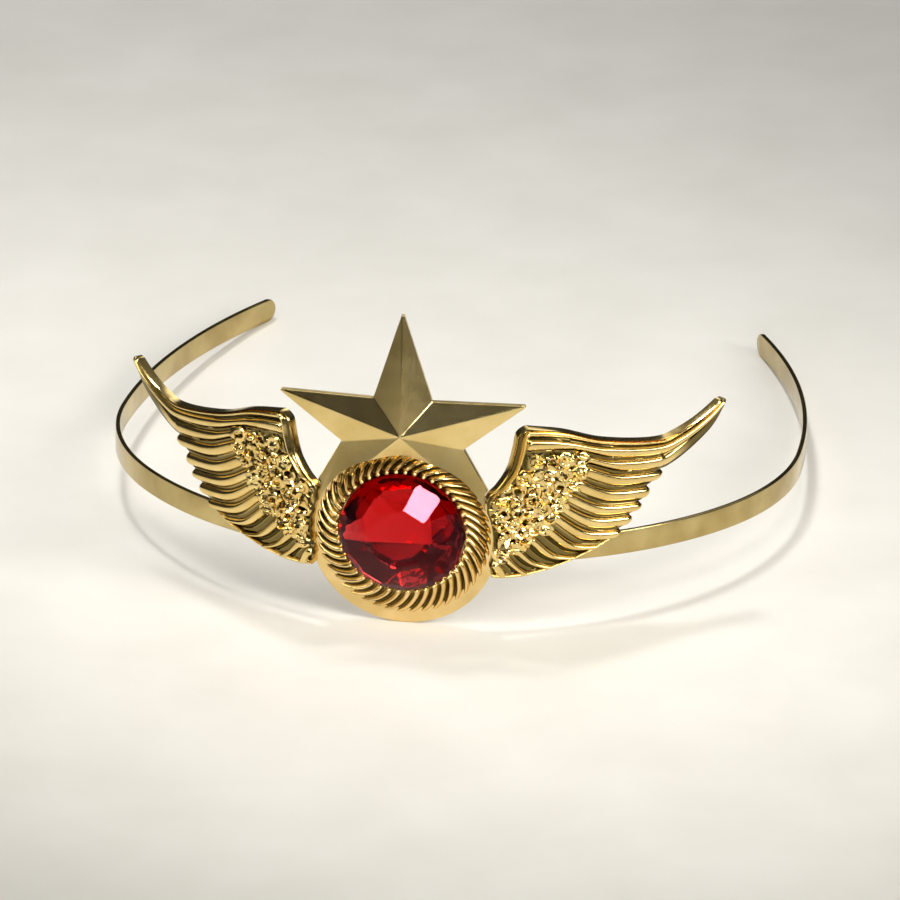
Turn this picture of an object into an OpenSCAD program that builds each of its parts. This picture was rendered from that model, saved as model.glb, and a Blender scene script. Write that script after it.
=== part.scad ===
// Forehead tiara: a springy metal hoop that carries a five-pointed star, a pair of wings
// and a round red stone in a setting with a twisted rope border.
// Millimetres, +Z up, front towards -Y. It stands on the lower rim of its setting and on
// the two ends of the hoop, with the origin at the bottom centre of its box.

/* [Hoop] */
// Width of the flat metal strip
hoop_h = 5; // [3.5:0.5:7]
// Thickness of the strip
hoop_t = 1; // [0.7:0.1:1.5]
// Bevel along the edges of the strip
hoop_bevel = 0.2; // [0.1:0.05:0.3]
// Outer radius of the strip across the forehead
brow_r = 73.2; // [68:0.2:80]
// Half angle of the forehead arc
brow_half = 54.6; // [48:0.2:60]
// Outer radius of the strip where it turns back at the temples
temple_r = 62.4; // [54:0.2:66]
// Outer radius of the long arcs that draw the two ends together
leg_r = 165; // [130:1:240]
// Length of each of those arcs
leg_len = 75; // [60:1:85]
// Height of the strip's middle at the front, as the tiara stands
hoop_front_z = 15.5; // [12:0.5:18]

/* [Setting] */
// Diameter of the flat backing disc
disc_d = 37.8; // [37.8:0.2:40]
// Thickness of the disc
disc_t = 1; // [0.8:0.1:1.4]
// Diameter of the rope border at its foot
border_d = 35.6; // [33:0.2:35.6]
// Height of the rope border above the disc
border_h = 2.3; // [1.6:0.1:3]
// Number of twisted flutes in the border
flutes = 44; // [24:4:48]
// Depth of the grooves between the flutes
flute_cut = 0.8; // [0.3:0.1:1.1]
// Turn of each flute between the stone and the foot, in degrees
flute_twist = 22; // [0:1:40]
// How far the border's centre sits above the disc's
border_up = 1; // [0:0.1:1]
// Thickness of the metal under the stone
cup_floor = 0.6; // [0.4:0.1:0.8]

/* [Stone] */
// Diameter of the stone
stone_d = 25; // [22:0.2:26]
// Height of its straight side
girdle_h = 3; // [2:0.1:3.6]
// Height of its faceted crown
crown_h = 2.8; // [1.6:0.1:4]
// Width of the flat table
table_d = 11.8; // [8:0.2:14]
// Number of facets round the table
stone_sides = 8; // [8:1:12]
// Turn of the facets, in degrees
stone_turn = 15; // [0:1:45]
// How far the stone's centre sits above the disc's
stone_up = 2; // [0:0.1:2.2]

/* [Star] */
// Distance from the star's centre to its top point
star_r = 25.2; // [22:0.2:28]
// Height of the star's centre above the disc's
star_up = 23.7; // [22:0.1:26]
// Thickness of the stamped sheet
star_t = 0.9; // [0.6:0.1:1.4]
// Rise of the star's middle above its outline
star_relief = 3.2; // [1.5:0.1:4.5]

/* [Wings] */
// Distance from the centre line to the inner end of a wing
wing_in = 17; // [16.4:0.1:18]
// Length of a wing towards the side
wing_w = 42; // [36:0.5:46]
// Height of a wing
wing_h = 32.8; // [28:0.2:36]
// Height of its lower edge above the floor
wing_low = 11.8; // [10.5:0.1:13]
// Thickness of the cast plate
wing_t = 1.2; // [0.9:0.1:1.6]
// Height of the feathers and rims above the plate
feather_h = 0.9; // [0.4:0.1:1.3]
// Radius to which the wings are bent
wing_bend_r = 115; // [100:1:140]
// Angle at which a wing leaves the setting, in degrees
wing_sweep = 23.5; // [20:0.1:25]
// How far its bent plate stands in front of the disc there
wing_forward = 0.9; // [0.7:0.1:1.2]

/* [Fits] */
// Gap between a piece and the one it is fixed to
seat_gap = 0.1; // [0.05:0.01:0.2]
// Gap round the rope border and round the stone
ring_gap = 0.15; // [0.1:0.01:0.25]

/* [Hidden] */

// Places in the hoop's own plane, where x is the side and y the depth
deg = 180 / PI;
temple_c = (brow_r - temple_r) * [sin(brow_half), -cos(brow_half)];
leg_c = temple_c + [temple_r - leg_r, 0];
leg_turn = leg_len / leg_r * deg;
end_c = leg_c + (leg_r - hoop_t / 2) * [cos(leg_turn), sin(leg_turn)];
hoop_reach = end_c[1] + brow_r;
stance = asin((hoop_front_z - hoop_h / 2) / hoop_reach);

// Depths of the layers at the front, each measured towards +Y
disc_back = -brow_r - hoop_h / 2 * sin(stance) - seat_gap;
disc_front = disc_back - disc_t;
stone_front = disc_back - cup_floor - seat_gap - girdle_h - crown_h;
star_front = disc_front - seat_gap - star_t - star_relief;
cap_reach = hoop_reach + hoop_h / 2 * cos(leg_turn) + hoop_t / 2 * sin(leg_turn);
hoop_back = -brow_r + cap_reach * cos(stance);
mid_y = (min(stone_front, star_front) + hoop_back) / 2;

// Heights above the floor
disc_z = disc_d / 2;
border_z = disc_z + border_up;
stone_z = disc_z + stone_up;
star_z = disc_z + star_up;
foot_r = border_d / 2;
cup_r = stone_d / 2 + ring_gap;

// Steps along the brow arc, round a temple and along a long arc
brow_steps = 14;
temple_steps = 7;
leg_steps = 8;
// Rounded end of the strip: share of half its width forwards, and of that half width there
end_steps = [[0.38, 0.925], [0.71, 0.704], [0.92, 0.392], [0.99, 0.141]];

// Rope border from its foot to the stone: share of the way in, of the height, of the groove
border_rows = [
    [0.00, 0.00, 0.0],
    [0.14, 0.50, 0.7],
    [0.36, 0.88, 1.0],
    [0.60, 1.00, 1.0],
    [0.82, 0.86, 0.8],
    [1.00, 0.50, 0.4],
];
// Rise of a flute at each of its steps, from the groove over the crest
flute_steps = [0, 0.75, 1, 0.75];

// Where the corners between table and girdle lie, as a share of the way out
kite_share = 0.68;

// Right half of the star from the top point down: shares of star_r to the side and up
star_half = [
    [0.000, 1.000],
    [0.234, 0.270],
    [0.976, 0.286],
    [0.488, -0.123],
    [0.870, -0.840],
    [0.000, -0.300],
];

// Grooves between the feathers from the top edge down, each at its inner end, root, middle
// and outer end: shares of wing_w to the side and of wing_h up
wing_grooves = [
    [0.133, 0.988, 0.324, 0.933, 0.500, 0.829, 0.752, 0.744],
    [0.119, 0.927, 0.319, 0.878, 0.510, 0.777, 0.752, 0.704],
    [0.105, 0.823, 0.371, 0.780, 0.538, 0.683, 0.748, 0.631],
    [0.081, 0.713, 0.424, 0.677, 0.562, 0.582, 0.738, 0.540],
    [0.038, 0.622, 0.400, 0.595, 0.533, 0.488, 0.683, 0.451],
    [-0.007, 0.555, 0.348, 0.527, 0.490, 0.402, 0.650, 0.357],
    [-0.007, 0.482, 0.319, 0.460, 0.462, 0.323, 0.610, 0.287],
    [-0.007, 0.409, 0.300, 0.393, 0.433, 0.244, 0.567, 0.207],
    [-0.007, 0.341, 0.267, 0.332, 0.390, 0.177, 0.505, 0.137],
    [-0.007, 0.280, 0.214, 0.268, 0.319, 0.125, 0.424, 0.091],
    [-0.007, 0.226, 0.143, 0.210, 0.229, 0.091, 0.319, 0.046],
    [-0.007, 0.174, 0.086, 0.165, 0.143, 0.079, 0.214, 0.015],
    [-0.007, 0.128, 0.045, 0.125, 0.076, 0.073, 0.110, 0.003],
    [-0.007, 0.085, 0.007, 0.079, 0.010, 0.055, 0.012, 0.018],
];
// Long tip past the feathers: its upper and its lower edge, in the same shares
horn_rows = [
    [0.752, 0.744, 0.738, 0.540],
    [0.810, 0.759, 0.800, 0.564],
    [0.886, 0.799, 0.883, 0.634],
    [0.948, 0.848, 0.957, 0.723],
    [0.979, 0.878, 1.002, 0.826],
];
// Across one feather from its groove: rise towards the shaft, and how far its end stands out
feather_steps = [[0, 0], [0.75, 0.8], [1, 1], [0.75, 0.55]];
// Feathers that run whole from the shoulder, feathers that end in the long tip, and the
// first of those that end on the lower rim
whole_feathers = 2;
horn_feathers = 3;
lip_feather = 8;
// Width of the rim along the inner edge, rounding of the shoulder, and size of a covert feather
rim_w = 2.1;
shoulder_r = 1.6;
covert_h = 0.75;
covert_pitch = 2.8;
// How far the end of a free feather stands out, and of one on the lower rim
tip_out = 1.1;
lip_out = 0.2;
// Shares of feather_h: at the very edge, in the grooves by the top edge, on the lower rim,
// and at a feather's end in its groove
edge_rise = 0.3;
groove_rise = 0.15;
lip_rise = 0.9;
end_rise = 0.2;
// Most of a row's inner part that the rim may take
rim_most = 0.4;
// Steps across the coverts, along each half of a feather, and between two rows of the tip
covert_cols = 10;
half_cols = 4;
horn_cols = 2;
// How far a cutting body runs past what it cuts
past = 20;

// Smooth curve through the points p, read at t, which counts whole steps between them
function along(p, t) = let (last = len(p) - 1, i = min(floor(t), last - 1), u = t - i,
        a = p[max(i - 1, 0)], b = p[i], c = p[i + 1], d = p[min(i + 2, last)])
    (2 * b + (c - a) * u + (2 * a - 5 * b + 4 * c - d) * u * u
        + (3 * b - a - 3 * c + d) * u * u * u) / 2;
// Faces of a tube of m rings with n points each, closed at both ends
function tube_faces(m, n) = concat(
    [[for (j = [0:n - 1]) j]],
    [for (i = [0:m - 2]) for (j = [0:n - 1])
        let (a = i * n + j, b = i * n + (j + 1) % n) each [[a, a + n, b], [b, a + n, b + n]]],
    [[for (j = [n - 1:-1:0]) (m - 1) * n + j]]);

// Point of the wing, side and height above the floor, from shares of its sizes
function wing_at(x, z) = [wing_in + x * wing_w, wing_low + z * wing_h];
// Centre of the bend, seen from above
wing_c = [wing_in - wing_bend_r * sin(wing_sweep),
    disc_front - wing_forward + wing_bend_r * cos(wing_sweep)];
// A point that stands h above the back of the bent plate
function on_wing(p, h) = let (a = asin((p[0] - wing_c[0]) / wing_bend_r))
    [wing_c[0] + (wing_bend_r + h) * sin(a), wing_c[1] - (wing_bend_r + h) * cos(a), p[1]];
// The same on the back itself, which lies flat on the disc where it covers the disc
function on_back(p) = let (q = on_wing(p, 0))
    norm([p[0], p[1] - disc_z]) < disc_d / 2 + rim_w ? [p[0], disc_front - seat_gap, p[1]] : q;

// Places along the middle of the strip, each with the direction that faces outwards there
function arc_places(c, r, from, to, n) = [for (k = [1:n]) let (a = from + (to - from) * k / n)
    [c[0] + r * cos(a), c[1] + r * sin(a), a, hoop_h / 2]];
half_hoop = concat(
    arc_places([0, 0], brow_r - hoop_t / 2, -90, brow_half - 90, brow_steps),
    arc_places(temple_c, temple_r - hoop_t / 2, brow_half - 90, 0, temple_steps),
    arc_places(leg_c, leg_r - hoop_t / 2, 0, leg_turn, leg_steps),
    [for (s = end_steps) [
        end_c[0] - s[0] * hoop_h / 2 * sin(leg_turn),
        end_c[1] + s[0] * hoop_h / 2 * cos(leg_turn), leg_turn, s[1] * hoop_h / 2]]);

module band() color("goldenrod") {
    path = concat(
        [for (i = [len(half_hoop) - 1:-1:0]) let (p = half_hoop[i]) [-p[0], p[1], 180 - p[2], p[3]]],
        [[0, hoop_t / 2 - brow_r, -90, hoop_h / 2]],
        half_hoop);
    t = hoop_t / 2;
    // Strip section with bevelled edges: outwards and up
    rings = [for (p = path) let (h = p[3], b = min(hoop_bevel, h / 2))
        for (s = [[-t, b - h], [-t, h - b], [b - t, h], [t - b, h],
                  [t, h - b], [t, b - h], [t - b, -h], [b - t, -h]])
            [p[0] + s[0] * cos(p[2]), p[1] + s[0] * sin(p[2]), s[1]]];
    translate([0, -mid_y - brow_r, hoop_front_z]) rotate([-stance, 0, 0]) translate([0, brow_r, 0])
        polyhedron(rings, tube_faces(len(path), 8), convexity = 6);
}

// Bodies drawn lying down, with their front up, are stood up here at a height and depth
module stood(y, z) {
    translate([0, y - mid_y, z]) rotate([90, 0, 0]) children();
}

// Ring of points round the border's grid: radius, height, groove and share of the way in
function grid_ring(r, h, groove, share, up) = [for (j = [0:flutes * len(flute_steps) - 1])
    let (a = 360 * j / (flutes * len(flute_steps)) + flute_twist * share,
        drop = groove * (1 - flute_steps[j % len(flute_steps)]))
    [r * cos(a), r * sin(a) + up, h - drop]];

module setting() color("gold") {
    count = flutes * len(flute_steps);
    rings = concat(
        grid_ring(disc_d / 2, 0, 0, 0, 0),
        grid_ring(disc_d / 2, disc_t, 0, 0, 0),
        [for (row = border_rows)
            each grid_ring(foot_r + (cup_r - foot_r) * row[0], disc_t + border_h * row[1],
                flute_cut * row[2], row[0], border_up + (stone_up - border_up) * row[0])],
        grid_ring(cup_r, cup_floor, 0, 1, stone_up));
    stood(disc_back, disc_z)
        polyhedron(rings, tube_faces(len(border_rows) + 3, count), convexity = 6);
}

module stone() color("crimson") {
    step = 360 / stone_sides;
    r_table = table_d / 2;
    r_girdle = stone_d / 2;
    // Radius and height of the corners between the table and the girdle
    r_mid = r_table + (r_girdle - r_table) * kite_share;
    z_mid = girdle_h + crown_h * (1 - (r_mid * cos(step / 2) - r_table) / (r_girdle - r_table));
    ends = [for (j = [0:2 * stone_sides - 1]) stone_turn + j * step / 2];
    points = concat(
        [for (a = ends) [r_girdle * cos(a), r_girdle * sin(a), 0]],
        [for (a = ends) [r_girdle * cos(a), r_girdle * sin(a), girdle_h]],
        [for (k = [0:stone_sides - 1]) let (a = stone_turn + (k + 0.5) * step)
            [r_mid * cos(a), r_mid * sin(a), z_mid]],
        [for (k = [0:stone_sides - 1]) let (a = stone_turn + k * step)
            [r_table * cos(a), r_table * sin(a), girdle_h + crown_h]]);
    n = stone_sides;
    // First index of the girdle's upper ring, of the middle corners and of the table
    g = 2 * n;
    m = 4 * n;
    t = 5 * n;
    faces = concat(
        [[for (j = [0:2 * n - 1]) j]],
        [for (j = [0:2 * n - 1]) let (b = (j + 1) % (2 * n)) [j, j + g, b + g, b]],
        [for (k = [0:n - 1]) let (b = (k + 1) % n, p = (k + n - 1) % n) each [
            [g + 2 * k, m + p, t + k],
            [g + 2 * k, t + k, m + k],
            [g + 2 * k, m + k, g + 2 * k + 1],
            [g + 2 * k + 1, m + k, g + 2 * b],
            [m + k, t + k, t + b]]],
        [[for (k = [n - 1:-1:0]) t + k]]);
    stood(disc_back - cup_floor - seat_gap, stone_z) polyhedron(points, faces);
}

// Shape that a wing covers beside the star, widened by a gap
module wing_shadow(side) {
    inner = [for (g = wing_grooves) wing_at(g[0], g[1]) + [-ring_gap, ring_gap - disc_z]];
    far = wing_in + wing_w;
    mirror([side, 0]) polygon(concat(inner,
        [[inner[0][0], wing_low - disc_z], [far, wing_low - disc_z], [far, inner[0][1]]]));
}

module star() color("darkkhaki") {
    half = star_r * star_half;
    tips = concat(half, [for (i = [len(half) - 2:-1:1]) [-half[i][0], half[i][1]]]);
    n = len(tips);
    middle = 2 * n;
    points = concat(
        [for (p = tips) [p[0], p[1], 0]],
        [for (p = tips) [p[0], p[1], star_t]],
        [[0, 0, star_relief], [0, 0, star_relief + star_t]]);
    faces = [for (i = [0:n - 1]) let (b = (i + 1) % n) each [
        [i, b, middle],
        [i + n, middle + 1, b + n],
        [i, i + n, b + n], [i, b + n, b]]];
    difference() {
        stood(disc_front - seat_gap, star_z) polyhedron(points, faces);
        stood(disc_front + seat_gap, border_z) cylinder(r = foot_r + ring_gap, h = past, $fn = 96);
        for (side = [0, 1])
            stood(disc_front + seat_gap, disc_z) linear_extrude(past) wing_shadow(side);
    }
}

// Row j of the wing's grid lies between two grooves, or on one
row_steps = len(feather_steps);
wing_last = row_steps * (len(wing_grooves) - 1);
horn_last = row_steps * horn_feathers;
covert_end = 2 + covert_cols;
body_cols = covert_end + 2 * half_cols;
horn_end = body_cols + horn_cols * (len(horn_rows) - 1);
function groove_mix(j) = let (i = floor(j / row_steps), f = j / row_steps - i)
    wing_grooves[i] * (1 - f) + wing_grooves[min(i + 1, len(wing_grooves) - 1)] * f;
// Inner end of a row, which keeps clear of the rope border and rounds the shoulder
function row_start(g) = let (p = wing_at(g[0], g[1]), up = p[1] - border_z, r = foot_r + ring_gap,
        left = max(shoulder_r - (wing_at(0, wing_grooves[0][1])[1] - p[1]), 0),
        round_off = shoulder_r - sqrt(shoulder_r * shoulder_r - left * left))
    [(abs(up) < r ? max(p[0], sqrt(r * r - up * up)) : p[0]) + round_off, p[1]];
function row_path(j) = let (g = groove_mix(j), mid = wing_at(g[4], g[5]), end = wing_at(g[6], g[7]),
        reach = j <= horn_last ? 0 : j < row_steps * lip_feather ? tip_out : lip_out,
        out = reach * feather_steps[j % row_steps][1])
    [row_start(g), wing_at(g[2], g[3]), mid, end + (end - mid) / norm(end - mid) * out];
// Share of a row's inner part that the rim takes
function rim_part(p) = min(rim_most, rim_w / norm(p[1] - p[0]));
// Place of column c along a row: the rim, then the coverts, then the feather itself
function col_place(c, rim) = c == 0 ? 0 : c == 1 ? rim / 2
    : c <= covert_end ? rim + (1 - rim) * (c - 2) / covert_cols
    : 1 + (c - covert_end) / half_cols;
function horn_point(j, t) = let (h = along(horn_rows, t), top = wing_grooves[0][7],
        f = (top - groove_mix(j)[7]) / (top - wing_grooves[horn_feathers][7]))
    wing_at(h[0] * (1 - f) + h[2] * f, h[1] * (1 - f) + h[3] * f);
function wing_point(j, c) = let (p = row_path(j))
    c <= body_cols ? along(p, col_place(c, rim_part(p))) : horn_point(j, (c - body_cols) / horn_cols);
// Height of the relief there, above the plate's front
function relief(j, c) = let (feather = floor(j / row_steps), rise = feather_steps[j % row_steps][0],
        p = row_path(j), to_root = (1 - col_place(c, rim_part(p))) * norm(p[1] - p[0]))
    c == 0 ? feather_h * edge_rise
    : c == 1 ? feather_h
    : feather < whole_feathers ? feather_h * max(rise, groove_rise) * (c == horn_end ? 0.5 : 1)
    : c == 2 ? feather_h * groove_rise
    : c < covert_end
        ? covert_h * rise * (1 - cos(360 * to_root / covert_pitch + 180 * (feather % 2))) / 2
    : feather >= lip_feather && c == body_cols - 1 ? feather_h * lip_rise
    : c == body_cols && j >= horn_last ? feather_h * max(rise / 2, end_rise)
    : feather_h * rise;

function wing_cell(j, c) = j >= 0 && c >= 0 && j < wing_last
    && (c < body_cols || (j < horn_last && c < horn_end));
function wing_id(j, c) = j <= horn_last ? j * (horn_end + 1) + c
    : (horn_last + 1) * (horn_end + 1) + (j - horn_last - 1) * (body_cols + 1) + c;

module wing_body() {
    spots = [for (j = [0:wing_last]) for (c = [0:j <= horn_last ? horn_end : body_cols]) [j, c]];
    flat = [for (s = spots) wing_point(s[0], s[1])];
    front = [for (i = [0:len(spots) - 1]) on_wing(flat[i], wing_t + relief(spots[i][0], spots[i][1]))];
    back = [for (p = flat) on_back(p)];
    n = len(spots);
    faces = [for (s = spots) let (j = s[0], c = s[1]) if (wing_cell(j, c))
        let (a = wing_id(j, c), b = wing_id(j, c + 1), d = wing_id(j + 1, c), e = wing_id(j + 1, c + 1))
        each concat(
            [[a, b, e], [a, e, d], [a + n, e + n, b + n], [a + n, d + n, e + n]],
            wing_cell(j - 1, c) ? [] : [[b, a, a + n], [b, a + n, b + n]],
            wing_cell(j + 1, c) ? [] : [[d, e, e + n], [d, e + n, d + n]],
            wing_cell(j, c + 1) ? [] : [[e, b, b + n], [e, b + n, e + n]],
            wing_cell(j, c - 1) ? [] : [[a, d, d + n], [a, d + n, a + n]])];
    translate([0, -mid_y, 0]) polyhedron(concat(front, back), faces, convexity = 10);
}

module wing_right() color("gold") wing_body();

module wing_left() color("gold") mirror([1, 0, 0]) wing_body();

band();
star();
wing_left();
wing_right();
setting();
stone();
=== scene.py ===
# Costume diadem: a springy gilt hoop with a star, two cast wings and a red stone in a rope border
import random
import bpy
import bmesh
from functools import partial
from math import asin, atan, cos, degrees, dist, hypot, pi, radians, sin, sqrt
from mathutils import Euler, Matrix, Vector


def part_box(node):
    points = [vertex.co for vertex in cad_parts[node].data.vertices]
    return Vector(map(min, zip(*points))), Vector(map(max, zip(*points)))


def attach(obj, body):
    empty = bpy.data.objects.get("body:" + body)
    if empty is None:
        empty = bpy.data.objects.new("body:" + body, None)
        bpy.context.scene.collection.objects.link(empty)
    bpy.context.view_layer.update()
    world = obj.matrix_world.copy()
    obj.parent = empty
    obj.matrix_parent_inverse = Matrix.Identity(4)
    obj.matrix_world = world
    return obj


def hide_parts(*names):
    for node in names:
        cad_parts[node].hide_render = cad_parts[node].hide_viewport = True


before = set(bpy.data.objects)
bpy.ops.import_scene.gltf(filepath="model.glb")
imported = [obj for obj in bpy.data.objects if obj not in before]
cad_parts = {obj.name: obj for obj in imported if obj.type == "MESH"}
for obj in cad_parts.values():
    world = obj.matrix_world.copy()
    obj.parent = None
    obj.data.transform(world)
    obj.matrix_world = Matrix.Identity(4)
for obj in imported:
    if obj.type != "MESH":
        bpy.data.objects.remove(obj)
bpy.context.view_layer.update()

mm = 0.001              # sizes are in millimetres unless a comment says otherwise


def linear(hexColour):
    parts = [int(hexColour[i:i + 2], 16) / 255 for i in (1, 3, 5)]
    return (*[c / 12.92 if c <= 0.04045 else ((c + 0.055) / 1.055) ** 2.4 for c in parts], 1.0)


# Adds a node. kind is its type without the family's name, choice its operation or data type,
# points the bends of its curve, ramp its colours, and settings are its other properties.
# inputs are its sockets, in order or by name or number: each has a value, what it is linked
# to, or a list of what joins there.
def addNode(tree, kind, inputs=(), choice=None, points=None, ramp=None, **settings):
    families = ("ShaderNode", "GeometryNode", "FunctionNode", "Node")
    node = tree.nodes.new(next(f + kind for f in families if hasattr(bpy.types, f + kind)))
    if choice:
        settings["operation" if hasattr(node, "operation") else "data_type"] = choice
    for key, value in settings.items():
        setattr(node, key, value)
    if points:
        line = node.mapping.curves[0]
        while len(line.points) < len(points):
            line.points.new(0.5, 0.5)
        for spot, place in zip(line.points, points):
            spot.location = place
            spot.handle_type = "AUTO_CLAMPED"
        node.mapping.update()
    if ramp:
        stops = node.color_ramp.elements
        while len(stops) < len(ramp):
            stops.new(0.5)
        for stop, (place, colour) in zip(stops, ramp):
            stop.position = place
            stop.color = linear(colour)
    for key, value in inputs.items() if isinstance(inputs, dict) else enumerate(inputs):
        for end in value if isinstance(value, list) else [value]:
            if isinstance(end, bpy.types.Node):
                end = end.outputs[0]
            if isinstance(end, bpy.types.NodeSocket):
                tree.links.new(end, node.inputs[key])
            else:
                node.inputs[key].default_value = end
    return node


# Adds a run of nodes of one kind: each takes what the one before gives, and the next value
def addRun(add, kind, choice, first, *others):
    for other in others:
        first = add(kind, [first, other], choice)
    return first


# Empties the node tree of a new material or world, and gives what adds its nodes
def startShading(owner):
    owner.use_nodes = True
    owner.node_tree.nodes.clear()
    return partial(addNode, owner.node_tree)


# Starts a Geometry Nodes tree whose sizes are named inputs. Gives the tree, its inputs and
# what adds its nodes.
def startTree(name, sizes):
    tree = bpy.data.node_groups.new(name, "GeometryNodeTree")
    tree.interface.new_socket(name="Geometry", in_out="INPUT", socket_type="NodeSocketGeometry")
    for label, value in sizes.items():
        kind = "NodeSocketInt" if isinstance(value, int) else "NodeSocketFloat"
        tree.interface.new_socket(name=label, in_out="INPUT", socket_type=kind)
    tree.interface.new_socket(name="Finish", in_out="INPUT", socket_type="NodeSocketMaterial")
    tree.interface.new_socket(name="Geometry", in_out="OUTPUT", socket_type="NodeSocketGeometry")
    return tree, tree.nodes.new("NodeGroupInput").outputs, partial(addNode, tree)


# Ends the tree: real geometry, smooth faces and the finish
def endTree(add, size, shape):
    real = add("RealizeInstances", [shape])
    smooth = add("SetShadeSmooth", [real])
    coated = add("SetMaterial", {0: smooth, "Material": size["Finish"]})
    add("GroupOutput", [coated])


# Runs the tree on a start object and gives the result back as a plain mesh object
def growPiece(name, start, tree, sizes, finish, sharpAngle=40):
    modifier = start.modifiers.new("grow", "NODES")
    modifier.node_group = tree
    values = {**sizes, "Finish": finish}
    for item in tree.interface.items_tree:
        if item.in_out == "INPUT" and item.name in values:
            modifier[item.identifier] = values[item.name]
    depsgraph = bpy.context.evaluated_depsgraph_get()
    mesh = bpy.data.meshes.new_from_object(
        start.evaluated_get(depsgraph), preserve_all_data_layers=True, depsgraph=depsgraph)
    bpy.data.objects.remove(start)
    mesh.name = name
    return finishPiece(name, mesh, finish, sharpAngle)


def finishPiece(name, mesh, finish, sharpAngle=40):
    if finish is not None:
        mesh.materials.clear()
        mesh.materials.append(finish)
    mesh.shade_smooth()
    mesh.set_sharp_from_angle(angle=radians(sharpAngle))
    piece = bpy.data.objects.new(name, mesh)
    bpy.context.scene.collection.objects.link(piece)
    return piece


def startObject(name, data):
    start = bpy.data.objects.new(name, data)
    bpy.context.scene.collection.objects.link(start)
    return start


def meshFrom(name, points, faces, values=None):
    mesh = bpy.data.meshes.new(name)
    mesh.from_pydata([[c * mm for c in p] for p in points], [], faces)
    for label, (kind, numbers) in (values or {}).items():
        layer = mesh.attributes.new(label, kind, "POINT")
        flat = [c for v in numbers for c in v] if kind == "FLOAT_VECTOR" else numbers
        layer.data.foreach_set("vector" if kind == "FLOAT_VECTOR" else "value", flat)
    return mesh


# Smooth curve through the points, read at t, which counts whole steps between them
def smoothAt(points, t):
    last = len(points) - 1
    i = min(int(t), last - 1)
    u = t - i
    a, b, c, d = (points[min(max(i + k, 0), last)] for k in (-1, 0, 1, 2))
    return [(2 * q + (r - p) * u + (2 * p - 5 * q + 4 * r - s) * u ** 2
             + (3 * q - p - 3 * r + s) * u ** 3) / 2 for p, q, r, s in zip(a, b, c, d)]


# Smooth line through places that lie at uneven distances (centripetal Catmull-Rom)
def alongPath(path, t):
    i = min(int(t), len(path) - 2)
    b, c = Vector(path[i]), Vector(path[i + 1])
    a = Vector(path[i - 1]) if i > 0 else b * 2 - c
    d = Vector(path[i + 2]) if i + 2 < len(path) else c * 2 - b
    knots = [0.0]
    for p, q in ((a, b), (b, c), (c, d)):
        knots.append(knots[-1] + sqrt((q - p).length) + 1e-9)
    at = knots[1] + (t - i) * (knots[2] - knots[1])

    def between(p, q, first, last):
        return (p * (knots[last] - at) + q * (at - knots[first])) / (knots[last] - knots[first])

    ab, bc, cd = between(a, b, 0, 1), between(b, c, 1, 2), between(c, d, 2, 3)
    return between(between(ab, bc, 0, 2), between(bc, cd, 1, 3), 1, 2)


# Layers from the back to the front, as the construction has them
layers = {
    "browRadius": 73.2,      # outer radius of the hoop at the brow
    "templeRadius": 62.4,
    "legRadius": 165,
    "browHalf": 54.6,        # half angle of the brow arc, degrees
    "legLength": 75,
    "hoopHeight": 5,
    "hoopThickness": 1,
    "hoopFrontZ": 15.5,
    "discThickness": 1,
    "cupFloor": 0.6,
    "seatGap": 0.1,
    "ringGap": 0.15,
    "footRadius": 17.8,      # rope border at its foot
    "borderUp": 1,           # centres above the disc's centre
    "stoneUp": 2,
    "starUp": 23.7,
}
browHalf = radians(layers["browHalf"])
templeShift = layers["browRadius"] - layers["templeRadius"]
templeCentre = (templeShift * sin(browHalf), -templeShift * cos(browHalf))
legCentre = (templeCentre[0] + layers["templeRadius"] - layers["legRadius"], templeCentre[1])
legTurn = layers["legLength"] / layers["legRadius"]
legMiddle = layers["legRadius"] - layers["hoopThickness"] / 2
hoopReach = legCentre[1] + legMiddle * sin(legTurn) + layers["browRadius"]
stance = asin((layers["hoopFrontZ"] - layers["hoopHeight"] / 2) / hoopReach)
discBox = [Vector(corner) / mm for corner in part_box("setting")]
discRadius = (discBox[1].x - discBox[0].x) / 2
discZ = discRadius
discBack = discBox[1].y
discFront = discBack - layers["discThickness"]
arcY = discBack + layers["browRadius"] + layers["hoopHeight"] / 2 * sin(stance) + layers["seatGap"]
borderZ = discZ + layers["borderUp"]
stoneZ = discZ + layers["stoneUp"]
starZ = discZ + layers["starUp"]
print("frame loaded, disc front at y", round(discFront, 2), "mm, hoop tilt",
      round(degrees(stance), 2))


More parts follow.
